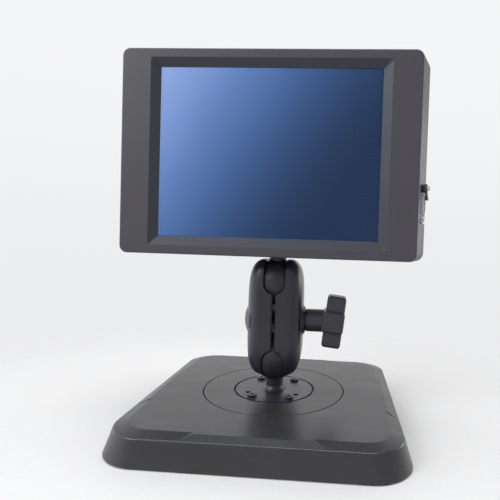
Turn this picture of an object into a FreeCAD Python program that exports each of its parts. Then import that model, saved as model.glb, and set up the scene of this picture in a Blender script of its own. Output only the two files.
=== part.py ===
import FreeCAD, Part
import math
import os
from FreeCAD import Vector

# Desktop video magnifier: an 8.4 inch display on a clamped double-ball arm over a square weighted base.
# Millimetres. Origin: centre of the base on the surface it stands on. +X right, +Y to the rear, +Z up.

X, Y, Z = Vector(1, 0, 0), Vector(0, 1, 0), Vector(0, 0, 1)
INCH = 25.4
OVER = 1.0                  # how far a cutter runs past the face it opens
FAR = 40.0                  # half length of a cutter that goes right through the arm

# --- base ---
BASE_HEIGHT = 19.0          # top flat above the table
SKIRT_HALF = 102.6          # half width at the lower edge
SKIRT_GAP = 0.8             # lower edge above the table
LEDGE_HALF = 97.4           # half width where the skirt meets the bevel
LEDGE_HEIGHT = 16.7
TOP_HALF = 88.4             # half width of the top flat
SKIRT_CORNER, LEDGE_CORNER, TOP_CORNER = 29.0, 26.0, 19.0
LEDGE_ROUND, TOP_ROUND = 1.2, 3.0
COVER_WALL = 3.2
ROOF_UNDERSIDE = 14.9
PAD_HALF, PAD_FOOT_HALF = 38.0, 46.0                    # middle zone of each side, where the flat is longer
PAD_REACH, PAD_FOOT_REACH, PAD_START = 90.7, 96.2, 70.0
PLATE_BOTTOM, PLATE_TOP = 2.6, 4.2                      # sheet steel floor
FLOOR_HALF, FLOOR_CORNER, FLOOR_HOLE = 97.4, 25.0, 8.0
BALLAST_HALF, BALLAST_TOP, BALLAST_CORNER = 85.0, 12.0, 16.0
BALLAST_COUNTERBORE = 19.0
COVER_SCREW_AT, COVER_POST = 84.0, 4.5
FOOT_AT, FOOT_RADIUS = 68.0, 9.0
BALLAST_SCREW_AT = 50.0
M4_CLEAR, M4_SHANK, M4_HEAD, M4_HEAD_HEIGHT = 2.3, 2.0, 3.6, 2.0

# --- turntable and ball plate ---
DISC_RADIUS = 4.5 * INCH / 2
DISC_SEAM = 0.9
DISC_BOTTOM = 13.45
WELL_RIM = 4.0
JOURNAL_RADIUS, JOURNAL_BOTTOM, JOURNAL_FIT = 12.0, 6.9, 0.04
RING_OUTER, RING_INNER, RING_TOP = 52.0, 42.0, 13.4
PIVOT_THREAD, PIVOT_HEAD, PIVOT_HEAD_HEIGHT = 3.0, 5.2, 3.2
PIVOT_WASHER, PIVOT_WASHER_THICK = 17.0, 1.5
BALL_PLATE_RADIUS = 2.5 * INCH / 2
BALL_PLATE_SEAM = 1.6
BALL_PLATE_BOTTOM = 16.3
PLATE_SCREWS = (14.6, 21.5)
PLATE_SCREW_HEAD, PLATE_SCREW_HEIGHT = 3.7, 1.9
PLATE_SPARES = (19.5, -12.8)     # two spare holes, one each side in front of the post
PLATE_HOLE = 2.1

# --- ball joints and arm ---
BALL_RADIUS = 1.5 * INCH / 2
SKIN_THICKNESS = 2.0
SKIN_FIT = 0.05
LOWER_BALL_Z = 46.4
BALL_SPACING = 62.0
UPPER_BALL_Z = LOWER_BALL_Z + BALL_SPACING
ARM_MID_Z = LOWER_BALL_Z + BALL_SPACING / 2
NECK_RADIUS, NECK_SKIN_GAP = 7.1, 0.6
POST_FLARE, POST_FLARE_HEIGHT, POST_COLLAR, POST_COLLAR_HEIGHT = 9.8, 1.2, 8.6, 3.2
ARM_HALF_X, ARM_HALF_Y = 22.2, 19.3
ARM_LOW, ARM_HIGH = 33.0, 127.1
ARM_CLEAR_RADIUS = 20.9     # the top of the arm stays this near the upper ball, under the tilting display
ARM_FULLNESS = 4.5          # 2 would be an ellipse from end to end, a larger number is nearer a rectangle
ARM_CORNER_SHARE = 0.62     # corner radius of each level section, as a share of its smaller half width
ARM_SECTIONS, ARM_END_SHARE, ARM_SWEEP = 22, 0.985, 80.0
ARM_GAP = 2.0
NECK_SLOT_HALF = 8.8
GROOVE_SIZE, GROOVE_LIFT = 3.8, 0.4
BOLT_RADIUS = 5 / 16 * INCH / 2
BOLT_ACROSS_FLATS, BOLT_SEAT, BOLT_HEAD_END, BOLT_END = INCH / 2, 20.6, 25.0, 44.0
LEFT_MOUND_RADIUS, LEFT_MOUND_REACH, LEFT_MOUND_SPAN = 23.0, 26.1, 16.5
RIGHT_BOSS = (13.6, 10.2, 2.0)                        # foot radius, top radius, height
SPRING_POCKET, SPRING_POCKET_DEPTH = 8.5, 9.0
SPRING_RADIUS, SPRING_WIRE, SPRING_LENGTH, SPRING_PITCH = 6.2, 0.6, 16.4, 3.4
WASHER_RADIUS, WASHER_THICK, WASHER_BORE_GAP = 8.8, 1.3, 0.4
KNOB_STEM_RADIUS = 9.25
KNOB_STEM_START, KNOB_CENTRE = 25.6, 48.0
KNOB_THICK, KNOB_LENGTH, KNOB_WIDTH, KNOB_LEAN = 15.4, 42.4, 15.0, 6.2
KNOB_HUB_CENTRE, KNOB_HUB_HALF = 47.3, (8.9, 11.0, 8.7)
KNOB_ROUND, KNOB_EDGE = 2.6, 2.2
INSERT_RADIUS, INSERT_LENGTH, INSERT_FIT = 6.5, 22.0, 0.05

# --- display ---
DISPLAY_X = -6.0                                  # the stud stands to the right of the display's middle
DISPLAY_BOTTOM = 129.7
FACE_HALF_X, FACE_HALF_Z = 113.85, 78.55
DISPLAY_Z = DISPLAY_BOTTOM + FACE_HALF_Z
FACE_Y, BEZEL_BACK_Y, PARTING_Y, REAR_Y = -31.5, -27.4, -11.5, 9.5
FLARE = 8.6                                       # how far each side wall leans out by the parting line
REAR_TAPER, REAR_TAPER_Z = 1.6, 1.2
FACE_CORNER, PARTING_CORNER, CAVITY_CORNER = 6.0, 7.0, 4.0
FACE_ROUND, REAR_ROUND, WINDOW_ROUND = 1.2, 3.0, 0.7
HOUSING_WALL = 2.5
WINDOW_FRONT, WINDOW_FRONT_CORNER = (91.8, 71.6), 2.0   # recess border on the face
WINDOW_BACK, WINDOW_BACK_CORNER = (85.1, 64.8), 0.6     # opening at the glass
SCREEN_SHIFT_Z = 0.6
STUD_RADIUS, STUD_LENGTH = 5 / 16 * INCH / 2, 17.0
STUD_FLANGE, STUD_FLANGE_HEIGHT = 7.8, 1.2
STUD_BLOCK_HALF_X, STUD_BLOCK_Y = 17.0, (-11.0, 5.5)
STUD_BLOCK_LOW, STUD_BLOCK_TOP = DISPLAY_BOTTOM + HOUSING_WALL + 1.3, DISPLAY_BOTTOM + HOUSING_WALL + 9
NUT_HEIGHT = 5.0
SCREW_INSET_X, SCREW_INSET_Z, SCREW_MIDDLE_RISE = 9.0, 7.2, 10.0
SCREW_POST, SCREW_BORE, SCREW_HEAD, SCREW_HEAD_HEIGHT = 4.0, 2.1, 3.2, 2.2
SCREW_SINK, SCREW_SINK_RADIUS, M3_SHANK = 3.0, 3.4, 1.5
VENT_PITCH, VENT_WIDTH, VENTS_EACH_WAY, VENT_LOW, VENT_HIGH = 6.0, 2.4, 9, 34.0, 58.0

# --- inside the display, front to rear ---
GLASS_HALF, GLASS_FRONT, GLASS_BACK = (89.5, 68.2), -26.8, -25.7
GASKET_OPENING = (87.6, 66.2)
FRAME_HALF, FRAME_FRONT, FRAME_BACK, FRAME_OPENING = (97.0, 73.2), -25.6, -16.0, (87.0, 65.6)
CELL_HALF, CELL_Y, GUIDE_Y = (94.0, 70.4), (-24.5, -22.9), (-22.8, -17.2)
TRAY_HALF, TRAY_Y = (95.5, 71.8), (-17.1, -16.2)
CHASSIS_HALF, CHASSIS_Y, CHASSIS_THICK = (72.0, 52.0), -15.8, 1.2
BOARD_Y, BOARD_THICK, BOARD_RISE = -6.0, 1.6, 6.0
BOARD_HALF = (64.0, 44.0)
BOARD_POSTS = [(sx * 58, BOARD_RISE + sz * 38) for sx in (-1, 1) for sz in (-1, 1)]
STANDOFF_FLATS = 5.5
# each chip's half size, place and height
CHIPS = [((11, 11), (-14, 12), 2.2), ((7, 4.5), (16, 22), 1.2), ((7, 4.5), (16, 8), 1.2),
         ((5, 9), (-40, 4), 3.0), ((9, 3), (36, -18), 4.2), ((4, 4), (42, 24), 4.8)]
CAN_RADIUS, CAN_HEIGHT, CAN_PLACES, CAN_DROP = 4.0, 6.5, (-44, -33, -22), 20.0
INVERTER_HALF, INVERTER_PLACE, INVERTER_Y = (38, 7), (-58, -62), -12.0
RIBBON_HALF = 12.0

# --- right side controls, placed along the leaning side wall ---
LEVER_Z, SOCKET_Z, JACK_Z = 185.8, 173.8, 161.5
PANEL_BACK, PANEL_FRONT = -2.2, -0.4
PANEL_REACH, PANEL_HALF_Z = (-6.4, 5.6), 8.3      # along the wall from its middle, and up and down
SOCKET_MIDDLE, SOCKET_HALF, SOCKET_WALL = 0.7, (2.6, 7.4), 0.35
SOCKET_DEEP, SOCKET_PROUD, SOCKET_CHAMFER = -9.0, 2.0, 1.4
TONGUE_HALF = (0.5, 5.2)
JACK_RADIUS, JACK_BORE, JACK_DEEP, JACK_PROUD, JACK_PIN = 2.7, 2.05, -10.0, 1.6, 0.8
LEVER_HUB, LEVER_SEAT, LEVER_TOP, LEVER_SHAFT, LEVER_REACH = 3.3, 1.0, 3.7, 1.2, 9.0
LEVER_CLEAR = SOCKET_PROUD + 0.6                  # the lever's tail passes over the socket
CAP_RADIUS, CAP_TOP_RADIUS, CAP_SINK = 2.0, 2.5, 0.3

os.makedirs("parts", exist_ok=True)


def save(node, shape):
    shape.exportStep("parts/%s.step" % node)


def group(shapes):
    return Part.makeCompound(shapes)


def fuse_all(shapes):
    return shapes[0].multiFuse(shapes[1:]).removeSplitter()


def box(low, high):
    size = [b - a for a, b in zip(low, high)]
    return Part.makeBox(size[0], size[1], size[2], Vector(*low))


def rod(radius, start, end):
    path = Vector(*end) - Vector(*start)
    return Part.makeCylinder(radius, path.Length, Vector(*start), path)


def post(radius, x, y, low, high):
    return rod(radius, (x, y, low), (x, y, high))


def cone(radius_start, radius_end, start, end):
    path = Vector(*end) - Vector(*start)
    return Part.makeCone(radius_start, radius_end, path.Length, Vector(*start), path)


def ball(radius, centre):
    return Part.makeSphere(radius, Vector(*centre))


def tube(outer, inner, start, end):
    return rod(outer, start, end).cut(rod(inner, start, end))


def hexagon_prism(across_flats, start, end):
    path = Vector(*end) - Vector(*start)
    side = Z if abs(path.z) < 0.5 * path.Length else X
    across = path.cross(side).normalize()
    side = across.cross(path).normalize()
    corner = across_flats / math.sqrt(3)
    turns = [math.radians(60 * i) for i in range(7)]
    points = [Vector(*start) + across * (corner * math.cos(t)) + side * (corner * math.sin(t)) for t in turns]
    return Part.Face(Part.makePolygon(points)).extrude(path)


def rounded_wire(half_a, half_b, radius, place):
    """A rounded rectangle; place(a, b) puts its flat coordinates in space."""
    edges = []
    corners = [(1, -1, -90), (1, 1, 0), (-1, 1, 90), (-1, -1, 180)]
    for i, (sa, sb, turn) in enumerate(corners):
        centre = (sa * (half_a - radius), sb * (half_b - radius))
        spots = []
        for step in (0, 45, 90):
            angle = math.radians(turn + step)
            spots.append((centre[0] + radius * math.cos(angle), centre[1] + radius * math.sin(angle)))
        arc = Part.Arc(*[place(*spot) for spot in spots]).toShape()
        following = corners[(i + 1) % 4]
        angle = math.radians(following[2])
        after = (following[0] * (half_a - radius) + radius * math.cos(angle),
                 following[1] * (half_b - radius) + radius * math.sin(angle))
        edges.append(arc)
        line_start, line_end = place(*spots[2]), place(*after)
        if (line_end - line_start).Length > 1e-6:
            edges.append(Part.makeLine(line_start, line_end))
    return Part.Wire(edges)


def flat_outline(half, radius, z):
    return rounded_wire(half, half, radius, lambda a, b: Vector(a, b, z))


def upright_outline(half_x, half_z, radius, y, shift_z=0.0):
    middle_z = DISPLAY_Z + shift_z
    return rounded_wire(half_x, half_z, radius, lambda a, b: Vector(DISPLAY_X + a, y, middle_z + b))


def loft(outlines):
    return Part.makeLoft(outlines, True, True)


def screen_slab(half, y_front, y_back, radius=1.0):
    return loft([upright_outline(half[0], half[1], radius, y, SCREEN_SHIFT_Z) for y in (y_front, y_back)])


def four_corners(across, along=None):
    along = across if along is None else along
    return [(sx * across, sy * along) for sx in (-1, 1) for sy in (-1, 1)]


def pan_screws(spots, seat_z, head_radius, head_height, shank_radius, shank_length, up=1):
    """Screws whose heads rest on seat_z; up=1 puts the heads above it and the shanks below."""
    screws = []
    for x, y in spots:
        head = post(head_radius, x, y, seat_z, seat_z + up * head_height)
        shank = post(shank_radius, x, y, seat_z - up * shank_length, seat_z + up * 0.2)
        drive_low = seat_z + up * (head_height - 0.9)
        drive = hexagon_prism(head_radius * 0.7, (x, y, drive_low), (x, y, drive_low + up))
        screws.append(head.fuse(shank).cut(drive))
    return group(screws)


# ------------------------------------------------------------------ base
def level_edges(shape, z):
    return [e for e in shape.Edges if abs(e.BoundBox.ZMin - z) < 1e-3 and e.BoundBox.ZLength < 1e-3]


def middle_pad():
    """The front one of four raised zones, where the top flat runs further out over the bevel."""
    slope = (BASE_HEIGHT - LEDGE_HEIGHT) / (LEDGE_HALF - TOP_HALF)
    foot_z = LEDGE_HEIGHT + (LEDGE_HALF - PAD_FOOT_REACH) * slope
    rows = []
    for half, reach, z in ((PAD_FOOT_HALF, PAD_FOOT_REACH, foot_z), (PAD_HALF, PAD_REACH, BASE_HEIGHT)):
        points = [(-half, -reach), (half, -reach), (half, -PAD_START), (-half, -PAD_START), (-half, -reach)]
        rows.append(Part.makePolygon([Vector(x, y, z) for x, y in points]))
    return loft(rows)


def base_cover():
    shell = loft([flat_outline(SKIRT_HALF, SKIRT_CORNER, SKIRT_GAP),
                  flat_outline(LEDGE_HALF, LEDGE_CORNER, LEDGE_HEIGHT),
                  flat_outline(TOP_HALF, TOP_CORNER, BASE_HEIGHT)])
    shell = shell.makeFillet(LEDGE_ROUND, level_edges(shell, LEDGE_HEIGHT))
    shell = shell.makeFillet(TOP_ROUND, level_edges(shell, BASE_HEIGHT))
    pads = [middle_pad() for turn in range(4)]
    for turn, pad in enumerate(pads):
        pad.rotate(Vector(0, 0, 0), Z, 90 * turn)
    shell = fuse_all([shell] + pads)
    cavity = loft([flat_outline(SKIRT_HALF - COVER_WALL, SKIRT_CORNER - COVER_WALL, SKIRT_GAP),
                   flat_outline(LEDGE_HALF - COVER_WALL, LEDGE_CORNER - COVER_WALL, ROOF_UNDERSIDE)])
    shell = shell.cut(cavity)
    well = DISC_RADIUS + DISC_SEAM
    rib = tube(well + WELL_RIM, well, (0, 0, BALLAST_TOP), (0, 0, ROOF_UNDERSIDE))
    posts = [post(COVER_POST, x, y, PLATE_TOP, ROOF_UNDERSIDE) for x, y in four_corners(COVER_SCREW_AT)]
    shell = fuse_all([shell, rib] + posts)
    holes = [post(M4_SHANK, x, y, PLATE_TOP - OVER, PLATE_TOP + 9) for x, y in four_corners(COVER_SCREW_AT)]
    return shell.cut(fuse_all([post(well, 0, 0, BALLAST_TOP - OVER, BASE_HEIGHT + OVER)] + holes))


def bottom_plate():
    plate = loft([flat_outline(FLOOR_HALF, FLOOR_CORNER, z) for z in (PLATE_BOTTOM, PLATE_TOP)])
    spots = four_corners(COVER_SCREW_AT) + ballast_screw_spots()
    holes = [post(M4_CLEAR, x, y, 0, PLATE_TOP + OVER) for x, y in spots]
    return plate.cut(fuse_all(holes + [post(FLOOR_HOLE, 0, 0, 0, PLATE_TOP + OVER)]))


def rubber_feet():
    return group([post(FOOT_RADIUS, x, y, 0, PLATE_BOTTOM) for x, y in four_corners(FOOT_AT)])


def ballast_screw_spots():
    return [(BALLAST_SCREW_AT, 0), (-BALLAST_SCREW_AT, 0), (0, BALLAST_SCREW_AT), (0, -BALLAST_SCREW_AT)]


def ballast_plate():
    reach, cut = BALLAST_HALF, BALLAST_HALF - BALLAST_CORNER
    points = [(cut, -reach), (reach, -cut), (reach, cut), (cut, reach),
              (-cut, reach), (-reach, cut), (-reach, -cut), (-cut, -reach), (cut, -reach)]
    outline = Part.makePolygon([Vector(x, y, PLATE_TOP) for x, y in points])
    plate = Part.Face(outline).extrude(Vector(0, 0, BALLAST_TOP - PLATE_TOP))
    bore = post(JOURNAL_RADIUS + JOURNAL_FIT, 0, 0, 0, BALLAST_TOP + OVER)
    counterbore = post(BALLAST_COUNTERBORE, 0, 0, PLATE_TOP, JOURNAL_BOTTOM + 0.1)
    taps = [post(M4_SHANK, x, y, PLATE_TOP, PLATE_TOP + 6) for x, y in ballast_screw_spots()]
    return plate.cut(fuse_all([bore, counterbore])).cut(fuse_all(taps))


def turntable_disc():
    disc = post(DISC_RADIUS, 0, 0, DISC_BOTTOM, BASE_HEIGHT)
    journal = post(JOURNAL_RADIUS, 0, 0, JOURNAL_BOTTOM, DISC_BOTTOM)
    recess = post(BALL_PLATE_RADIUS + BALL_PLATE_SEAM, 0, 0, BALL_PLATE_BOTTOM, BASE_HEIGHT + OVER)
    taps = [post(M4_SHANK, x, y, DISC_BOTTOM - OVER, BASE_HEIGHT) for x, y in four_corners(*PLATE_SCREWS)]
    pivot_tap = post(PIVOT_THREAD, 0, 0, JOURNAL_BOTTOM - OVER, JOURNAL_BOTTOM + 8)
    return disc.fuse(journal).removeSplitter().cut(fuse_all([recess] + taps)).cut(pivot_tap)


def lower_post():
    centre = (0, 0, LOWER_BALL_Z)
    plate = post(BALL_PLATE_RADIUS, 0, 0, BALL_PLATE_BOTTOM, BASE_HEIGHT)
    spares = [(side * PLATE_SPARES[0], PLATE_SPARES[1]) for side in (-1, 1)]
    for x, y in four_corners(*PLATE_SCREWS) + spares:
        plate = plate.cut(post(PLATE_HOLE, x, y, BALL_PLATE_BOTTOM - OVER, BASE_HEIGHT + OVER))
    flare_top, collar_top = BASE_HEIGHT + POST_FLARE_HEIGHT, BASE_HEIGHT + POST_COLLAR_HEIGHT
    flare = cone(POST_FLARE, POST_COLLAR, (0, 0, BASE_HEIGHT), (0, 0, flare_top))
    collar = cone(POST_COLLAR, NECK_RADIUS, (0, 0, flare_top), (0, 0, collar_top))
    neck = rod(NECK_RADIUS, (0, 0, BASE_HEIGHT), centre)
    core = ball(BALL_RADIUS - SKIN_THICKNESS - SKIN_FIT, centre)
    return fuse_all([plate, flare, collar, neck, core])


def ball_skin(ball_z, neck_side):
    """Moulded rubber shell over a ball, open where the neck leaves it (neck_side -1 below, +1 above)."""
    centre = (0, 0, ball_z)
    shell = ball(BALL_RADIUS, centre).cut(ball(BALL_RADIUS - SKIN_THICKNESS, centre))
    return shell.cut(rod(NECK_RADIUS + NECK_SKIN_GAP, centre, (0, 0, ball_z + neck_side * 2 * BALL_RADIUS)))


# ------------------------------------------------------------------ arm
def on_bolt(x):
    return (x, 0, ARM_MID_Z)


def arm_block():
    """The two halves and the gap between them as one soft block, lofted through level sections."""
    middle_z, half_z = (ARM_LOW + ARM_HIGH) / 2, (ARM_HIGH - ARM_LOW) / 2 / ARM_END_SHARE
    sweep = math.radians(ARM_SWEEP)
    sections = []
    for step in range(ARM_SECTIONS + 1):
        rise = ARM_END_SHARE * math.sin(sweep * (2 * step / ARM_SECTIONS - 1)) / math.sin(sweep)
        share = (1 - abs(rise) ** ARM_FULLNESS) ** (1 / ARM_FULLNESS)
        half_x, half_y, z = ARM_HALF_X * share, ARM_HALF_Y * share, middle_z + rise * half_z
        if z > UPPER_BALL_Z:
            half_y = min(half_y, math.sqrt(ARM_CLEAR_RADIUS ** 2 - (z - UPPER_BALL_Z) ** 2))
        sections.append(rounded_wire(half_x, half_y, ARM_CORNER_SHARE * half_y, lambda a, b: Vector(a, b, z)))
    return Part.makeLoft(sections, True, False)


def arm_cutters():
    reach = BALL_SPACING
    cutters = []
    for ball_z, way in ((LOWER_BALL_Z, -1), (UPPER_BALL_Z, 1)):
        cutters.append(ball(BALL_RADIUS + SKIN_FIT, (0, 0, ball_z)))
        cutters.append(rod(NECK_SLOT_HALF, (0, -FAR, ball_z), (0, FAR, ball_z)))
        ends = sorted((ball_z, ball_z + way * FAR))
        cutters.append(box((-NECK_SLOT_HALF, -FAR, ends[0]), (NECK_SLOT_HALF, FAR, ends[1])))
    cutters.append(box((-ARM_GAP / 2, -FAR, ARM_MID_Z - reach), (ARM_GAP / 2, FAR, ARM_MID_Z + reach)))
    for way in (-1, 1):
        half = GROOVE_SIZE / 2
        groove = box((-half, -half, ARM_MID_Z - reach), (half, half, ARM_MID_Z + reach))
        groove.rotate(Vector(0, 0, 0), Z, 45)
        groove.translate(Vector(0, way * (ARM_HALF_Y + GROOVE_LIFT), 0))
        cutters.append(groove)
    return cutters


def arm_half(way):
    """way -1 is the half with the bolt head, +1 the half under the knob."""
    half = arm_block().common(box((min(0, way * FAR), -FAR, 0), (max(0, way * FAR), FAR, 4 * FAR)))
    if way < 0:
        boss = ball(LEFT_MOUND_RADIUS, on_bolt(LEFT_MOUND_RADIUS - LEFT_MOUND_REACH))
        boss = boss.common(rod(LEFT_MOUND_SPAN, on_bolt(-OVER), on_bolt(-FAR)))
    else:
        foot, top, height = RIGHT_BOSS
        boss = cone(foot, top, on_bolt(ARM_HALF_X - OVER), on_bolt(ARM_HALF_X + height))
    half = fuse_all([half, boss])
    half = half.cut(fuse_all(arm_cutters()))
    half = half.cut(rod(SPRING_POCKET, on_bolt(0), on_bolt(way * SPRING_POCKET_DEPTH)))
    bore = BOLT_RADIUS if way < 0 else BOLT_RADIUS + WASHER_BORE_GAP
    half = half.cut(rod(bore, on_bolt(0), on_bolt(way * FAR)))
    if way < 0:
        half = half.cut(hexagon_prism(BOLT_ACROSS_FLATS, on_bolt(-BOLT_SEAT), on_bolt(-FAR)))
    return half


def clamp_bolt():
    head = hexagon_prism(BOLT_ACROSS_FLATS, on_bolt(-BOLT_HEAD_END), on_bolt(-BOLT_SEAT))
    return head.fuse(rod(BOLT_RADIUS, on_bolt(-BOLT_SEAT), on_bolt(BOLT_END))).removeSplitter()


def clamp_spring():
    helix = Part.makeHelix(SPRING_PITCH, SPRING_LENGTH, SPRING_RADIUS)
    ring = Part.Wire(Part.Circle(Vector(SPRING_RADIUS, 0, 0), Y, SPRING_WIRE).toShape())
    coil = Part.Wire(helix).makePipeShell([ring], True, True)
    coil.rotate(Vector(0, 0, 0), Y, 90)
    coil.translate(Vector(-SPRING_LENGTH / 2, 0, ARM_MID_Z))
    return coil


def thrust_washer():
    start = ARM_HALF_X + RIGHT_BOSS[2]
    return tube(WASHER_RADIUS, BOLT_RADIUS + WASHER_BORE_GAP, on_bolt(start), on_bolt(start + WASHER_THICK))


def knob():
    bar = rounded_wire(KNOB_THICK / 2, KNOB_LENGTH / 2, KNOB_ROUND,
                       lambda a, b: Vector(KNOB_CENTRE + a, -KNOB_WIDTH / 2, ARM_MID_Z + b))
    bar = Part.Face(bar).extrude(Vector(0, KNOB_WIDTH, 0))
    rims = [e for e in bar.Edges if abs(abs(e.CenterOfMass.y) - KNOB_WIDTH / 2) < 0.01]
    bar = bar.makeFillet(KNOB_EDGE, rims)
    hx, hy, hz = KNOB_HUB_HALF
    hub = box((KNOB_HUB_CENTRE - hx, -hy, ARM_MID_Z - hz), (KNOB_HUB_CENTRE + hx, hy, ARM_MID_Z + hz))
    hub = hub.makeFillet(KNOB_EDGE, hub.Edges)
    stem = rod(KNOB_STEM_RADIUS, on_bolt(KNOB_STEM_START), on_bolt(KNOB_CENTRE))
    head = fuse_all([bar, hub])
    head.rotate(Vector(*on_bolt(KNOB_CENTRE)), Y, KNOB_LEAN)
    bore = rod(INSERT_RADIUS, on_bolt(KNOB_STEM_START), on_bolt(KNOB_STEM_START + INSERT_LENGTH))
    return fuse_all([head, stem]).cut(bore)


def knob_insert():
    return tube(INSERT_RADIUS, BOLT_RADIUS + INSERT_FIT, on_bolt(KNOB_STEM_START),
                on_bolt(KNOB_STEM_START + INSERT_LENGTH))


# ------------------------------------------------------------------ display
def half_width_at(y):
    return FACE_HALF_X + FLARE * (y - FACE_Y) / (PARTING_Y - FACE_Y)


def facing_edges(shape, y):
    return [e for e in shape.Edges if abs(e.BoundBox.YMin - y) < 1e-3 and e.BoundBox.YLength < 1e-3]


def front_bezel():
    depths = (FACE_Y, BEZEL_BACK_Y)
    frame = loft([upright_outline(half_width_at(y), FACE_HALF_Z, FACE_CORNER, y) for y in depths])
    frame = frame.makeFillet(FACE_ROUND, facing_edges(frame, FACE_Y))
    window = loft([upright_outline(*WINDOW_FRONT, WINDOW_FRONT_CORNER, FACE_Y),
                   upright_outline(*WINDOW_BACK, WINDOW_BACK_CORNER, BEZEL_BACK_Y, SCREEN_SHIFT_Z)])
    frame = frame.cut(window)
    half_x, half_z = WINDOW_FRONT[0] + OVER, WINDOW_FRONT[1] + OVER
    border = [e for e in facing_edges(frame, FACE_Y)
              if abs(e.CenterOfMass.x - DISPLAY_X) < half_x and abs(e.CenterOfMass.z - DISPLAY_Z) < half_z]
    frame = frame.makeFillet(WINDOW_ROUND, border)
    taps = [rod(M3_SHANK, (x, BEZEL_BACK_Y - 2.6, z), (x, BEZEL_BACK_Y + OVER, z))
            for x, z in housing_screw_spots()]
    return frame.cut(fuse_all(taps))


def housing_outlines(inset, corners):
    """Three outlines of the rear housing, front to rear, moved in by inset."""
    rear_half = half_width_at(PARTING_Y) - REAR_TAPER
    rows = ((half_width_at(BEZEL_BACK_Y), FACE_HALF_Z, BEZEL_BACK_Y),
            (half_width_at(PARTING_Y), FACE_HALF_Z, PARTING_Y),
            (rear_half, FACE_HALF_Z - REAR_TAPER_Z, REAR_Y - inset))
    return [upright_outline(half_x - inset, half_z - inset, corner, y)
            for (half_x, half_z, y), corner in zip(rows, corners)]


def rear_housing():
    shell = loft(housing_outlines(0.0, (FACE_CORNER, PARTING_CORNER, FACE_CORNER)))
    shell = shell.makeFillet(REAR_ROUND, facing_edges(shell, REAR_Y))
    shell = shell.cut(loft(housing_outlines(HOUSING_WALL, (CAVITY_CORNER,) * 3)))
    spots = housing_screw_spots()
    posts = [rod(SCREW_POST, (x, BEZEL_BACK_Y, z), (x, REAR_Y - OVER, z)) for x, z in spots]
    shell = fuse_all([shell] + posts)
    holes = [rod(SCREW_BORE, (x, BEZEL_BACK_Y - OVER, z), (x, REAR_Y + OVER, z)) for x, z in spots]
    holes += [rod(SCREW_SINK_RADIUS, (x, REAR_Y - SCREW_SINK, z), (x, REAR_Y + OVER, z)) for x, z in spots]
    for step in range(-VENTS_EACH_WAY, VENTS_EACH_WAY + 1):
        x = DISPLAY_X + step * VENT_PITCH - VENT_WIDTH / 2
        holes.append(box((x, REAR_Y - 2 * SCREW_SINK, DISPLAY_Z + VENT_LOW),
                         (x + VENT_WIDTH, REAR_Y + OVER, DISPLAY_Z + VENT_HIGH)))
    holes.append(post(STUD_RADIUS, 0, 0, DISPLAY_BOTTOM - OVER, DISPLAY_BOTTOM + HOUSING_WALL + OVER))
    front, rear = PANEL_REACH
    holes.append(wall_frame(box((-9, front, -PANEL_HALF_Z), (9, rear, PANEL_HALF_Z)), SOCKET_Z))
    holes.append(wall_frame(rod(3.0, (-9, 0, 0), (9, 0, 0)), LEVER_Z))
    holes.append(wall_frame(rod(JACK_RADIUS, (-9, 0, 0), (9, 0, 0)), JACK_Z))
    return shell.cut(fuse_all(holes))


def housing_screw_spots():
    reach_x, reach_z = FACE_HALF_X - SCREW_INSET_X, FACE_HALF_Z - SCREW_INSET_Z
    middle = [(DISPLAY_X - reach_x, DISPLAY_Z), (DISPLAY_X + reach_x, DISPLAY_Z + SCREW_MIDDLE_RISE)]
    return [(DISPLAY_X + sx * reach_x, DISPLAY_Z + sz * reach_z) for sx in (-1, 1) for sz in (-1, 1)] + middle


def housing_screws():
    seat = REAR_Y - SCREW_SINK
    screws = []
    for x, z in housing_screw_spots():
        head = rod(SCREW_HEAD, (x, seat, z), (x, seat + SCREW_HEAD_HEIGHT, z))
        socket = hexagon_prism(3.0, (x, seat + OVER, z), (x, seat + SCREW_SINK, z))
        screws.append(head.fuse(rod(M3_SHANK, (x, BEZEL_BACK_Y - 2.4, z), (x, seat + 0.2, z))).cut(socket))
    return group(screws)


def glass_gasket():
    return screen_slab(GLASS_HALF, BEZEL_BACK_Y, GLASS_FRONT).cut(
        screen_slab(GASKET_OPENING, BEZEL_BACK_Y - OVER, GLASS_FRONT + OVER))


def lcd_frame():
    cup = screen_slab(FRAME_HALF, FRAME_FRONT, FRAME_BACK, 2.0)
    inside = screen_slab((FRAME_HALF[0] - OVER, FRAME_HALF[1] - OVER), FRAME_FRONT + OVER, 0.0)
    return cup.cut(inside).cut(screen_slab(FRAME_OPENING, FRAME_FRONT - OVER, FRAME_BACK))


def board(half, place, y_front, thickness):
    x, z = DISPLAY_X + place[0], DISPLAY_Z + place[1]
    return box((x - half[0], y_front, z - half[1]), (x + half[0], y_front + thickness, z + half[1]))


def board_holes(radius, y_front, y_back):
    return [rod(radius, (DISPLAY_X + x, y_front, DISPLAY_Z + z), (DISPLAY_X + x, y_back, DISPLAY_Z + z))
            for x, z in BOARD_POSTS]


def main_board():
    plate = board(BOARD_HALF, (0, BOARD_RISE), BOARD_Y, BOARD_THICK)
    return plate.cut(fuse_all(board_holes(1.7, BOARD_Y - OVER, BOARD_Y + BOARD_THICK + OVER)))


def board_chips():
    top = BOARD_Y + BOARD_THICK
    chips = [board(half, place, top, height) for half, place, height in CHIPS]
    z = DISPLAY_Z - CAN_DROP
    cans = [rod(CAN_RADIUS, (DISPLAY_X + x, top, z), (DISPLAY_X + x, top + CAN_HEIGHT, z))
            for x in CAN_PLACES]
    return group(chips + cans)


def board_standoffs():
    foot = CHASSIS_Y + CHASSIS_THICK
    bars = [hexagon_prism(STANDOFF_FLATS, (DISPLAY_X + x, foot, DISPLAY_Z + z),
                          (DISPLAY_X + x, BOARD_Y, DISPLAY_Z + z)) for x, z in BOARD_POSTS]
    return group([bar.cut(hole) for bar, hole in zip(bars, board_holes(M3_SHANK, foot + 2.6, BOARD_Y))])


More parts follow.
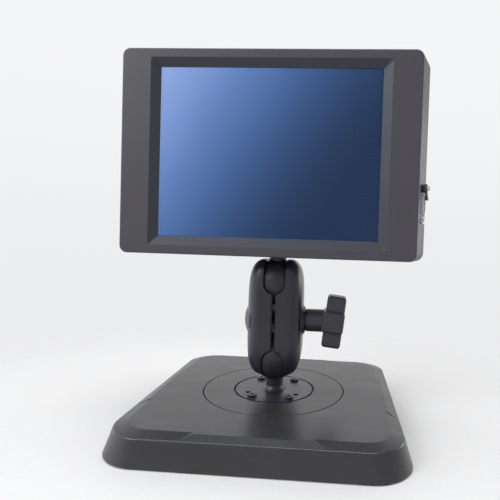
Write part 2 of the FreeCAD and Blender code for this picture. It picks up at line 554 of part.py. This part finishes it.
def board_screws():
    seat = BOARD_Y + BOARD_THICK
    heads, shanks = board_holes(2.8, seat, seat + 1.8), board_holes(M3_SHANK, CHASSIS_Y + 4.3, seat)
    return group([head.fuse(shank) for head, shank in zip(heads, shanks)])


def inverter_parts():
    top = INVERTER_Y + BOARD_THICK
    z = INVERTER_PLACE[1]
    return group([board((12, 5), (-72, z), top, 6.5), board((4, 4), (-34, z), top, 5.0)])


def ribbon_cable():
    """Flat flexible cable from the lower edge of the panel, folded up to the main board."""
    low = DISPLAY_Z - 68
    points = [(-15.4, low + 12), (-12.4, low + 12), (-8.4, low + 8), (-4.4, low + 12), (-4.4, low + 30.4),
              (-4.1, low + 30.4), (-4.1, low + 11.9), (-8.4, low + 7.6),
              (-12.5, low + 11.7), (-15.4, low + 11.7)]
    outline = [Vector(DISPLAY_X - RIBBON_HALF, y, z) for y, z in points + points[:1]]
    return Part.Face(Part.makePolygon(outline)).extrude(Vector(2 * RIBBON_HALF, 0, 0))


def stud_block():
    body = box((-STUD_BLOCK_HALF_X, STUD_BLOCK_Y[0], STUD_BLOCK_LOW),
               (STUD_BLOCK_HALF_X, STUD_BLOCK_Y[1], STUD_BLOCK_TOP))
    return body.cut(post(STUD_RADIUS, 0, 0, DISPLAY_BOTTOM, STUD_BLOCK_TOP + OVER))


def upper_stud():
    centre = (0, 0, UPPER_BALL_Z)
    core = ball(BALL_RADIUS - SKIN_THICKNESS - SKIN_FIT, centre)
    flange_low = DISPLAY_BOTTOM - STUD_FLANGE_HEIGHT
    neck = post(NECK_RADIUS, 0, 0, UPPER_BALL_Z, flange_low)
    flange = post(STUD_FLANGE, 0, 0, flange_low, DISPLAY_BOTTOM)
    thread = post(STUD_RADIUS, 0, 0, flange_low, DISPLAY_BOTTOM + STUD_LENGTH)
    return fuse_all([core, neck, flange, thread])


def stud_nut():
    nut = hexagon_prism(INCH / 2, (0, 0, STUD_BLOCK_TOP), (0, 0, STUD_BLOCK_TOP + NUT_HEIGHT))
    nut.rotate(Vector(0, 0, 0), Z, 30)
    return nut.cut(post(STUD_RADIUS, 0, 0, STUD_BLOCK_TOP - OVER, STUD_BLOCK_TOP + NUT_HEIGHT + OVER))


# ------------------------------------------------------------------ right side controls
def wall_frame(shape, z):
    """Moves a shape built with +X out of the wall and +Y rearward along it onto the right side wall."""
    lean = math.degrees(math.atan2(FLARE, PARTING_Y - FACE_Y))
    shape = shape.copy()
    shape.rotate(Vector(0, 0, 0), Z, -lean)
    shape.translate(Vector(DISPLAY_X + FACE_HALF_X + FLARE / 2, (FACE_Y + PARTING_Y) / 2, z))
    return shape


def socket_body(inset, deep, proud, chamfer):
    """The D-shaped outline of the video socket; inset moves it in from the shell's outer face."""
    half_y, half_z = SOCKET_HALF[0] - inset, SOCKET_HALF[1] - inset
    body = box((deep, SOCKET_MIDDLE - half_y, -half_z), (proud, SOCKET_MIDDLE + half_y, half_z))
    long_edges = [e for e in body.Edges if e.BoundBox.XLength > 0.5 * (proud - deep)]
    return body.makeChamfer(chamfer, [e for e in long_edges if e.CenterOfMass.y > SOCKET_MIDDLE])


def socket_panel():
    front, rear = PANEL_REACH
    plate = box((PANEL_BACK, front, -PANEL_HALF_Z), (PANEL_FRONT, rear, PANEL_HALF_Z))
    return wall_frame(plate.cut(socket_body(-SOCKET_WALL, SOCKET_DEEP, OVER, SOCKET_CHAMFER)), SOCKET_Z)


def socket_shell():
    outer = socket_body(0.0, SOCKET_DEEP, SOCKET_PROUD, SOCKET_CHAMFER)
    inner = socket_body(SOCKET_WALL, SOCKET_DEEP + OVER, SOCKET_PROUD + OVER, SOCKET_CHAMFER - 0.2)
    return wall_frame(outer.cut(inner), SOCKET_Z)


def socket_tongue():
    thick, tall = TONGUE_HALF
    blade = box((SOCKET_DEEP + OVER, SOCKET_MIDDLE - thick, -tall), (-OVER, SOCKET_MIDDLE + thick, tall))
    return wall_frame(blade, SOCKET_Z)


def power_jack():
    barrel = rod(JACK_RADIUS, (JACK_DEEP, 0, 0), (JACK_PROUD, 0, 0))
    collar = rod(JACK_RADIUS + 1.2, (-HOUSING_WALL - 1.2, 0, 0), (-HOUSING_WALL - 0.1, 0, 0))
    bore = rod(JACK_BORE, (JACK_DEEP + OVER, 0, 0), (JACK_PROUD + OVER, 0, 0))
    return wall_frame(fuse_all([barrel, collar]).cut(bore), JACK_Z)


def power_pin():
    return wall_frame(rod(JACK_PIN, (JACK_DEEP + OVER, 0, 0), (-OVER, 0, 0)), JACK_Z)


def switch_body():
    front = -HOUSING_WALL - 0.2
    block = box((-11, -4.5, -2.1), (front, 4.5, 6.5))
    bushing = rod(2.95, (front, 0, 0), (LEVER_SEAT - 0.3, 0, 0))
    return wall_frame(block.fuse(bushing).cut(rod(LEVER_SHAFT + 0.05, (-6, 0, 0), (2, 0, 0))), LEVER_Z)


def switch_lever():
    hub = rod(LEVER_HUB, (LEVER_SEAT, 0, 0), (LEVER_TOP, 0, 0))
    hub = hub.makeFillet(0.5, [e for e in hub.Edges if abs(e.CenterOfMass.x - LEVER_TOP) < 0.01])
    corners = ((LEVER_SEAT, 0), (LEVER_TOP, 0), (LEVER_TOP, -3), (LEVER_TOP + 0.9, -LEVER_REACH),
               (LEVER_CLEAR, -LEVER_REACH), (LEVER_CLEAR, -4), (LEVER_SEAT, -2.4), (LEVER_SEAT, 0))
    arm = Part.Face(Part.makePolygon([Vector(x, -1.6, z) for x, z in corners])).extrude(Vector(0, 3.2, 0))
    shaft = rod(LEVER_SHAFT, (-5, 0, 0), (LEVER_SEAT + 0.2, 0, 0))
    return wall_frame(fuse_all([hub, arm, shaft]), LEVER_Z)


def switch_cap():
    dome = ball(CAP_TOP_RADIUS, (LEVER_TOP - CAP_SINK, 0, 0))
    return wall_frame(dome.common(rod(CAP_RADIUS, (LEVER_TOP, 0, 0), (LEVER_TOP + 5, 0, 0))), LEVER_Z)


# ------------------------------------------------------------------ write every node
NODES = {
    "base_cover": base_cover(),
    "bottom_plate": bottom_plate(),
    "ballast_plate": ballast_plate(),
    "rubber_feet": rubber_feet(),
    "bottom_screws": pan_screws(four_corners(COVER_SCREW_AT), PLATE_BOTTOM, M4_HEAD, M4_HEAD_HEIGHT,
                                M4_SHANK, 9.5, -1),
    "ballast_screws": pan_screws(ballast_screw_spots(), PLATE_BOTTOM, M4_HEAD, M4_HEAD_HEIGHT,
                                 M4_SHANK, 6.5, -1),
    "bearing_ring": tube(RING_OUTER, RING_INNER, (0, 0, BALLAST_TOP), (0, 0, RING_TOP)),
    "turntable_disc": turntable_disc(),
    "pivot_washer": tube(PIVOT_WASHER, PIVOT_THREAD + 0.1, (0, 0, JOURNAL_BOTTOM - PIVOT_WASHER_THICK),
                         (0, 0, JOURNAL_BOTTOM)),
    "pivot_screw": pan_screws([(0, 0)], JOURNAL_BOTTOM - PIVOT_WASHER_THICK, PIVOT_HEAD, PIVOT_HEAD_HEIGHT,
                              PIVOT_THREAD, 8.5, -1),
    "lower_ball_post": lower_post(),
    "plate_screws": pan_screws(four_corners(*PLATE_SCREWS), BASE_HEIGHT, PLATE_SCREW_HEAD, PLATE_SCREW_HEIGHT,
                               M4_SHANK, 5.0),
    "lower_ball_skin": ball_skin(LOWER_BALL_Z, -1),
    "arm_half_left": arm_half(-1),
    "arm_half_right": arm_half(1),
    "clamp_bolt": clamp_bolt(),
    "clamp_spring": clamp_spring(),
    "thrust_washer": thrust_washer(),
    "clamp_knob": knob(),
    "knob_insert": knob_insert(),
    "upper_ball_skin": ball_skin(UPPER_BALL_Z, 1),
    "upper_ball_stud": upper_stud(),
    "stud_nut": stud_nut(),
    "stud_block": stud_block(),
    "front_bezel": front_bezel(),
    "rear_housing": rear_housing(),
    "glass_gasket": glass_gasket(),
    "screen_glass": screen_slab(GLASS_HALF, GLASS_FRONT, GLASS_BACK),
    "lcd_frame": lcd_frame(),
    "lcd_cell": screen_slab(CELL_HALF, *CELL_Y),
    "light_guide": screen_slab(CELL_HALF, *GUIDE_Y),
    "backlight_tray": screen_slab(TRAY_HALF, *TRAY_Y),
    "chassis_plate": board(CHASSIS_HALF, (0, BOARD_RISE), CHASSIS_Y, CHASSIS_THICK),
    "board_standoffs": board_standoffs(),
    "main_board": main_board(),
    "board_chips": board_chips(),
    "board_screws": board_screws(),
    "inverter_board": board(INVERTER_HALF, INVERTER_PLACE, INVERTER_Y, BOARD_THICK),
    "inverter_parts": inverter_parts(),
    "ribbon_cable": ribbon_cable(),
    "housing_screws": housing_screws(),
    "socket_panel": socket_panel(),
    "socket_shell": socket_shell(),
    "socket_tongue": socket_tongue(),
    "power_jack": power_jack(),
    "power_pin": power_pin(),
    "switch_body": switch_body(),
    "switch_lever": switch_lever(),
    "switch_cap": switch_cap(),
}
for node, shape in NODES.items():
    save(node, shape)
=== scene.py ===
import math

import bpy
from mathutils import Matrix, Vector


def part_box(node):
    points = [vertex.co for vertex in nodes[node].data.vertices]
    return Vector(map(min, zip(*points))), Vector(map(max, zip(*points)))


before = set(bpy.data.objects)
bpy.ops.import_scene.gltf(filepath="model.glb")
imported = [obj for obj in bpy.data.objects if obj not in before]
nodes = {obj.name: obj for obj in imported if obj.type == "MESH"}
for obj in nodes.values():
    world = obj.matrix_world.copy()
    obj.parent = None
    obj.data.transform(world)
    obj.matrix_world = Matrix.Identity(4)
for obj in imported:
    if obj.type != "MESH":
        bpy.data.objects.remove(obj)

# Looks for the desktop video magnifier. Metres; +X right, +Y to the rear, +Z up, the table at Z = 0.

bpy.context.view_layer.update()
scene = bpy.context.scene


# ------------------------------------------------------------------ materials
def set_ranges(made, low, high, out_low, out_high):
    """Makes a Map Range node turn low..high into out_low..out_high."""
    ranges = {"From Min": low, "From Max": high, "To Min": out_low, "To Max": out_high}
    for socket, number in ranges.items():
        made.inputs[socket].default_value = number


class Finish:
    """A Principled material being put together; its patterns sit in the object's own space."""

    def __init__(self, name, colour, roughness, **sockets):
        self.material = bpy.data.materials.new(name)
        self.material.use_nodes = True
        self.tree = self.material.node_tree
        self.shader = self.tree.nodes["Principled BSDF"]
        self.shader.inputs["Base Color"].default_value = (*colour, 1)
        self.shader.inputs["Roughness"].default_value = roughness
        for socket, value in sockets.items():
            self.shader.inputs[socket.replace("_", " ")].default_value = value
        self.place = self.node("ShaderNodeTexCoord").outputs["Object"]
        self.normal = None

    def node(self, kind, **settings):
        made = self.tree.nodes.new(kind)
        for setting, value in settings.items():
            setattr(made, setting, value)
        return made

    def feed(self, socket, value):
        if isinstance(value, bpy.types.NodeSocket):
            self.tree.links.new(value, socket)
        else:
            socket.default_value = value

    def stretched(self, scale):
        mapping = self.node("ShaderNodeMapping")
        self.feed(mapping.inputs["Vector"], self.place)
        mapping.inputs["Scale"].default_value = scale
        return mapping.outputs["Vector"]

    def noise(self, size, detail, stretch=None, distortion=0.0):
        """Cloudy values around 0.5 with features about size across."""
        made = self.node("ShaderNodeTexNoise")
        self.feed(made.inputs["Vector"], self.stretched(stretch) if stretch else self.place)
        made.inputs["Scale"].default_value = 1 / size
        made.inputs["Detail"].default_value = detail
        made.inputs["Distortion"].default_value = distortion
        return made.outputs["Fac"]

    def between(self, value, low, high, out_low, out_high, smooth=False):
        made = self.node("ShaderNodeMapRange", interpolation_type="SMOOTHSTEP" if smooth else "LINEAR")
        self.feed(made.inputs["Value"], value)
        set_ranges(made, low, high, out_low, out_high)
        return made.outputs["Result"]

    def maths(self, operation, first, second):
        made = self.node("ShaderNodeMath", operation=operation)
        self.feed(made.inputs[0], first)
        self.feed(made.inputs[1], second)
        return made.outputs["Value"]

    def mixed(self, factor, first, second):
        made = self.node("ShaderNodeMix", data_type="RGBA")
        self.feed(made.inputs["Factor"], factor)
        colours = {socket.identifier: socket for socket in (*made.inputs, *made.outputs)}
        for name, value in (("A_Color", first), ("B_Color", second)):
            self.feed(colours[name], value if isinstance(value, bpy.types.NodeSocket) else (*value, 1))
        return colours["Result_Color"]

    def part(self, axis):
        split = self.node("ShaderNodeSeparateXYZ")
        self.feed(split.inputs["Vector"], self.place)
        return split.outputs[axis]

    def soft_edges(self, radius):
        """Rounds small edges for the light only, and returns where they are, 0 on flats to 1 on edges."""
        bevel = self.node("ShaderNodeBevel", samples=4)
        bevel.inputs["Radius"].default_value = radius
        self.normal = bevel.outputs["Normal"]
        flat = self.node("ShaderNodeNewGeometry").outputs["Normal"]
        dot = self.node("ShaderNodeVectorMath", operation="DOT_PRODUCT")
        self.feed(dot.inputs[0], flat)
        self.feed(dot.inputs[1], self.normal)
        return self.between(dot.outputs["Value"], 0.999, 0.9, 0, 1)

    def bump(self, height, depth):
        made = self.node("ShaderNodeBump")
        self.feed(made.inputs["Height"], height)
        made.inputs["Distance"].default_value = depth
        if self.normal is not None:
            self.feed(made.inputs["Normal"], self.normal)
        self.normal = made.outputs["Normal"]

    def done(self, **sockets):
        for socket, value in sockets.items():
            self.feed(self.shader.inputs[socket.replace("_", " ")], value)
        if self.normal is not None:
            self.feed(self.shader.inputs["Normal"], self.normal)
        return self.material


def shade(colour, factor):
    return tuple(min(1.0, c * factor) for c in colour)


def moulded(name, colour, roughness, grain=0.0006, depth=0.00003, edge=0.0003):
    """Textured moulded plastic: cloudy tone, fine spark-eroded grain and edges lightened, partly as rubbed
    wear and partly as a painted highlight.
    """
    f = Finish(name, colour, roughness)
    wear_and_highlight_edges = f.soft_edges(edge)
    tone = f.mixed(f.between(f.noise(0.035, 4), 0.3, 0.7, 0, 1), shade(colour, 0.9), shade(colour, 1.1))
    tone = f.mixed(f.between(f.noise(grain * 1.3, 2), 0.35, 0.65, 0, 1), tone, shade(colour, 1.18))
    # Edges painted lighter: partly rubbed wear, partly a painted edge highlight.
    wear_and_highlight_share = f.maths("MULTIPLY", wear_and_highlight_edges, f.between(f.noise(0.006, 3), 0.35, 0.75, 0.1, 0.55))
    tone = f.mixed(wear_and_highlight_share, tone, shade(colour, 2.0))
    gloss = f.between(f.noise(0.018, 5), 0.3, 0.7, roughness - 0.035, roughness + 0.035)
    f.bump(f.noise(grain, 2), depth)
    return f.done(Base_Color=tone, Roughness=gloss)


def powder_coat(name, colour, roughness, **sockets):
    """Powder coat over a casting: orange peel, faint speckle and a thin clear layer."""
    f = Finish(name, colour, roughness, **sockets)
    wear_and_highlight_edges = f.soft_edges(0.0004)
    speckle = f.between(f.noise(0.0009, 4), 0.38, 0.66, 0, 1)
    tone = f.mixed(speckle, shade(colour, 0.85), shade(colour, 1.22))
    # Edges painted lighter: partly rubbed wear, partly a painted edge highlight.
    tone = f.mixed(f.maths("MULTIPLY", wear_and_highlight_edges, f.between(f.noise(0.008, 3), 0.4, 0.8, 0, 0.4)), tone,
                   shade(colour, 1.9))
    gloss = f.between(f.noise(0.01, 4), 0.3, 0.7, roughness - 0.05, roughness + 0.05)
    f.bump(f.noise(0.0016, 2), 0.00006)
    f.bump(f.noise(0.0005, 2), 0.00002)
    return f.done(Base_Color=tone, Roughness=gloss)


def rubber(name, colour, roughness):
    """Dull rubber or foam: a mottled tone with a fine open grain."""
    f = Finish(name, colour, roughness)
    f.soft_edges(0.0004)
    tone = f.mixed(f.between(f.noise(0.006, 5), 0.35, 0.7, 0, 1), shade(colour, 0.85), shade(colour, 1.5))
    gloss = f.between(f.noise(0.004, 4), 0.3, 0.7, roughness - 0.08, roughness + 0.08)
    f.bump(f.noise(0.0004, 3), 0.00003)
    return f.done(Base_Color=tone, Roughness=gloss)


def metal(name, colour, roughness, brushed=(1, 1, 1)):
    """Bare or plated metal with fine machining marks, drawn out along one way where brushed says so."""
    grain, scratch = 0.0008, 0.00001
    f = Finish(name, colour, roughness, Metallic=1.0)
    f.soft_edges(0.00025)
    marks = f.noise(grain, 4, stretch=brushed)
    tone = f.mixed(f.between(marks, 0.35, 0.65, 0, 1), shade(colour, 0.86), shade(colour, 1.08))
    gloss = f.between(f.noise(grain * 3, 4, stretch=brushed), 0.3, 0.7, roughness - 0.08, roughness + 0.1)
    f.bump(marks, scratch)
    return f.done(Base_Color=tone, Roughness=gloss)


def bezel_plastic():
    """The display's moulded face; the sloping recess around the screen is painted darker and bluer, as
    painted shade and a painted blue reflection of the screen.
    """
    colour, painted_recess_shade_colour = (0.063, 0.0595, 0.0725), (0.026, 0.032, 0.052)
    window_half_width, window_half_height, border = 0.0918, 0.0716, 0.0003
    f = Finish("bezel_textured", colour, 0.47)
    wear_and_highlight_edges = f.soft_edges(0.0004)
    tone = f.mixed(f.between(f.noise(0.035, 4), 0.3, 0.7, 0, 1), shade(colour, 0.92), shade(colour, 1.08))
    tone = f.mixed(f.between(f.noise(0.0009, 2), 0.35, 0.65, 0, 1), tone, shade(colour, 1.16))
    low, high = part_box("front_bezel")
    middle = (low + high) / 2
    inside = []
    for axis, half in (("X", window_half_width), ("Z", window_half_height)):
        offset = f.maths("ABSOLUTE", f.maths("SUBTRACT", f.part(axis), getattr(middle, axis.lower())), 0)
        inside.append(f.between(offset, half - border, half + border, 1, 0))
    # Painted shade and a painted blue reflection of the screen darken and tint the bezel inside the window.
    recess_shade_mask = f.maths("MULTIPLY", *inside)
    tone = f.mixed(f.maths("MULTIPLY", recess_shade_mask, 0.75), tone, painted_recess_shade_colour)
    # Edges painted lighter: partly rubbed wear, partly a painted edge highlight.
    wear_and_highlight_share = f.maths("MULTIPLY", wear_and_highlight_edges, f.between(f.noise(0.006, 3), 0.35, 0.75, 0.1, 0.5))
    tone = f.mixed(wear_and_highlight_share, tone, shade(colour, 1.9))
    gloss = f.between(f.noise(0.018, 5), 0.3, 0.7, 0.435, 0.505)
    f.bump(f.noise(0.0007, 2), 0.00005)
    return f.done(Base_Color=tone, Roughness=gloss)


def base_plastic():
    """The base's satin shell: glossier than the display, with a very fine grain, faint handling marks and a
    painted highlight along its edges.
    """
    colour = (0.024, 0.024, 0.0258)
    f = Finish("base_shell_satin", colour, 0.3, IOR=1.57)
    wear_and_highlight_edges = f.soft_edges(0.0005)
    tone = f.mixed(f.between(f.noise(0.05, 4), 0.3, 0.7, 0, 1), shade(colour, 0.85), shade(colour, 1.2))
    tone = f.mixed(f.between(f.noise(0.0008, 3), 0.4, 0.62, 0, 0.5), tone, shade(colour, 1.7))
    # Painted highlight: all edges lightened evenly.
    tone = f.mixed(f.maths("MULTIPLY", wear_and_highlight_edges, 0.35), tone, shade(colour, 3.0))
    wiped = f.between(f.noise(0.03, 6, stretch=(1, 3, 1), distortion=0.6), 0.35, 0.7, 0.27, 0.34)
    f.bump(f.noise(0.0007, 2), 0.000018)
    return f.done(Base_Color=tone, Roughness=wiped)


def display_glass():
    """The clear cover glass, with faint wiped smears in its gloss."""
    f = Finish("display_glass_clear", (1, 1, 1), 0.04, IOR=1.16, Transmission_Weight=1.0)
    smears = f.between(f.noise(0.03, 5, stretch=(1, 1, 2), distortion=1.2), 0.45, 0.75, 0.02, 0.07)
    return f.done(Roughness=smears)


def painted_screen_reflection():
    """A painted reflection of the backdrop, made to glow as plain blue: brightest at the upper left, darker
    towards the lower right, and faintly cloudy.
    """
    f = Finish("lcd_painted_reflection_blue", (0.002, 0.003, 0.006), 0.35, Specular_IOR_Level=0.12)
    across_share, down_share = 0.88, 0.44
    low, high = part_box("lcd_cell")
    # Painted reflection: the glow falls off across the screen and downwards from the upper left.
    across = f.between(f.part("X"), low.x, high.x, 0, 1)
    upward = f.between(f.part("Z"), low.z, high.z, 0, 1)
    drop = f.maths("ADD", f.maths("MULTIPLY", across, across_share),
                   f.maths("MULTIPLY", f.maths("SUBTRACT", 1.0, upward), down_share))
    ramp = f.node("ShaderNodeValToRGB")
    f.feed(ramp.inputs["Fac"], drop)
    stops = [(0.0, (0.300, 0.430, 0.780)), (0.22, (0.185, 0.300, 0.640)), (0.38, (0.100, 0.198, 0.460)),
             (0.58, (0.045, 0.105, 0.275)), (0.78, (0.018, 0.048, 0.130)), (1.0, (0.009, 0.024, 0.064))]
    ramp.color_ramp.interpolation = "B_SPLINE"
    while len(ramp.color_ramp.elements) < len(stops):
        ramp.color_ramp.elements.new(0.5)
    for element, (spot, colour) in zip(ramp.color_ramp.elements, stops):
        element.position = spot
        element.color = (*colour, 1)
    cloud = f.between(f.noise(0.05, 3), 0.3, 0.7, 0.97, 1.03)
    return f.done(Emission_Color=ramp.outputs["Color"], Emission_Strength=cloud)


FINISHES = {
    "base_shell": base_plastic(),
    "black_sheet_steel": powder_coat("sheet_steel_black", (0.03, 0.03, 0.032), 0.5),
    "ballast_steel": metal("ballast_steel_cut", (0.22, 0.21, 0.2), 0.5, (1, 14, 1)),
    "rubber_black": rubber("rubber_moulded", (0.020, 0.019, 0.025), 0.48),
    "screw_black": metal("screw_black_oxide", (0.10, 0.10, 0.105), 0.34),
    "acetal_white": moulded("acetal_bearing", (0.75, 0.75, 0.72), 0.35),
    "disc_paint": base_plastic(),
    "cast_alloy_black": powder_coat("cast_alloy_coated", (0.020, 0.0188, 0.0295), 0.36, Coat_Weight=0.25,
                                    Coat_Roughness=0.22),
    "bolt_zinc": metal("bolt_black_zinc", (0.055, 0.055, 0.06), 0.4, (8, 1, 1)),
    "spring_steel": metal("spring_steel_blackened", (0.03, 0.03, 0.033), 0.45),
    "knob_plastic": moulded("knob_moulded", (0.040, 0.039, 0.047), 0.36, 0.0008, 0.00004, 0.0006),
    "brass_insert": metal("brass_turned", (0.62, 0.43, 0.17), 0.3, (12, 1, 1)),
    "bezel_plastic": bezel_plastic(),
    "housing_plastic": moulded("housing_textured", (0.060, 0.056, 0.069), 0.47, 0.0007, 0.00005, 0.0004),
    "gasket_foam": rubber("gasket_foam_black", (0.02, 0.02, 0.026), 0.8),
    "screen_glass": display_glass(),
    "lcd_steel": metal("lcd_frame_steel", (0.5, 0.51, 0.53), 0.35, (1, 1, 10)),
    "lcd_glass": painted_screen_reflection(),
    "acrylic": moulded("acrylic_guide", (0.8, 0.83, 0.86), 0.1, 0.002, 0.00001),
    "sheet_aluminium": metal("aluminium_sheet", (0.7, 0.7, 0.71), 0.36, (1, 1, 12)),
    "circuit_board": moulded("solder_mask_green", (0.02, 0.11, 0.05), 0.32, 0.001, 0.00001),
    "chip_black": moulded("chip_mould", (0.03, 0.03, 0.03), 0.4),
    "polyimide": moulded("flex_film", (0.5, 0.22, 0.04), 0.3),
    "nickel": metal("nickel_satin", (0.86, 0.84, 0.86), 0.42),
    "panel_plastic": moulded("panel_mauve_grey", (0.25, 0.22, 0.255), 0.5),
    "contact_black": moulded("contact_moulded", (0.03, 0.03, 0.03), 0.4),
    "lever_plastic": moulded("lever_moulded", (0.035, 0.032, 0.032), 0.35, 0.0005, 0.00002, 0.0002),
    "cap_pale": moulded("lever_tip_pale", (0.62, 0.6, 0.6), 0.25, 0.0005, 0.00001, 0.0002),
}
for node in nodes.values():
    for slot in node.material_slots:
        slot.material = FINISHES[slot.material.name.split(".")[0]]


# ------------------------------------------------------------------ stage, light and camera
def pale_floor():
    """A round floor that fades out into the backdrop's own light."""
    radius, drop, fade_start, fade_end = 1.9, 0.0002, 0.13, 0.42
    bpy.ops.mesh.primitive_circle_add(vertices=96, radius=radius, fill_type="TRIFAN", location=(0, 0, -drop))
    floor = bpy.context.object
    floor.name = "floor"
    f = Finish("floor_paper", (0.735, 0.735, 0.74), 0.6)
    tone = f.mixed(f.between(f.noise(0.004, 4), 0.3, 0.7, 0, 1), (0.725, 0.725, 0.731), (0.745, 0.745, 0.748))
    length = f.node("ShaderNodeVectorMath", operation="LENGTH")
    f.feed(length.inputs[0], f.place)
    fade = f.between(length.outputs["Value"], fade_start, fade_end, 1.0, 0.0, smooth=True)
    f.bump(f.noise(0.0008, 3), 0.00002)
    floor.data.materials.append(f.done(Base_Color=tone, Alpha=fade))


def backdrop_light():
    """A pale surround: brighter far to the left, dimmer overhead, in front and a little to the right."""
    world = bpy.data.worlds.new("studio")
    scene.world = world
    world.use_nodes = True
    tree = world.node_tree
    background = tree.nodes["Background"]
    split = tree.nodes.new("ShaderNodeSeparateXYZ")
    tree.links.new(tree.nodes.new("ShaderNodeTexCoord").outputs["Generated"], split.inputs["Vector"])

    def ranged(axis, low, high, out_low, out_high):
        made = tree.nodes.new("ShaderNodeMapRange")
        made.interpolation_type = "SMOOTHSTEP"
        tree.links.new(split.outputs[axis], made.inputs["Value"])
        set_ranges(made, low, high, out_low, out_high)
        return made.outputs["Result"]

    shares = [ranged("Y", -0.9, 0.5, 0.52, 0.88), ranged("X", -0.95, -0.62, 1.7, 1.0),
              ranged("X", 0.5, 0.9, 1.0, 0.8), ranged("Z", 0.5, 0.85, 1.0, 0.3),
              ranged("Z", -0.1, 0.35, 0.97, 1.05)]
    total = shares[0]
    for share in shares[1:]:
        product = tree.nodes.new("ShaderNodeMath")
        product.operation = "MULTIPLY"
        tree.links.new(total, product.inputs[0])
        tree.links.new(share, product.inputs[1])
        total = product.outputs["Value"]
    tree.links.new(total, background.inputs["Strength"])
    background.inputs["Color"].default_value = (0.985, 0.988, 1.0, 1)


def softbox(name, spot, aim, width, height, power):
    light = bpy.data.lights.new(name, "AREA")
    light.shape = "RECTANGLE"
    light.size, light.size_y, light.energy = width, height, power
    lamp = bpy.data.objects.new(name, light)
    scene.collection.objects.link(lamp)
    lamp.location = spot
    lamp.rotation_euler = (Vector(aim) - Vector(spot)).to_track_quat("-Z", "Y").to_euler()


def photo_camera():
    """A slightly wide lens right of the middle, level with the screen's lower edge and rolled a little."""
    azimuth, elevation, roll = math.radians(3.524), math.radians(1.513), math.radians(1.848)
    distance, target = 0.35456, Vector((0.0278, 0, 0.13504))
    lens_share, side_shift, rise_shift = 0.857054, -0.123588, 0.00141
    back = Vector((math.sin(azimuth) * math.cos(elevation), -math.cos(azimuth) * math.cos(elevation),
                   math.sin(elevation)))
    right = Vector((math.cos(azimuth), math.sin(azimuth), 0))
    up = back.cross(right)
    turned_right = right * math.cos(roll) + up * math.sin(roll)
    turned_up = up * math.cos(roll) - right * math.sin(roll)
    camera = bpy.data.objects.new("camera", bpy.data.cameras.new("camera"))
    scene.collection.objects.link(camera)
    axes = (turned_right, turned_up, back, target + back * distance)
    camera.matrix_world = Matrix([[axis[row] for axis in axes] for row in range(3)] + [[0, 0, 0, 1]])
    camera.data.lens = lens_share * camera.data.sensor_width
    camera.data.shift_x, camera.data.shift_y = side_shift, rise_shift
    camera.data.clip_start = 0.01
    scene.camera = camera


pale_floor()
backdrop_light()
softbox("key_left", (-0.9, -0.75, 0.95), (0, 0, 0.18), 0.8, 0.8, 9.0)
softbox("rim_right", (0.75, 0.35, 0.25), (0.1, 0, 0.16), 0.35, 0.35, 1.2)
softbox("overhead", (0.0, -0.05, 1.15), (0, 0, 0.0), 0.9, 0.6, 8.5)
photo_camera()
scene.view_settings.view_transform = "Standard"
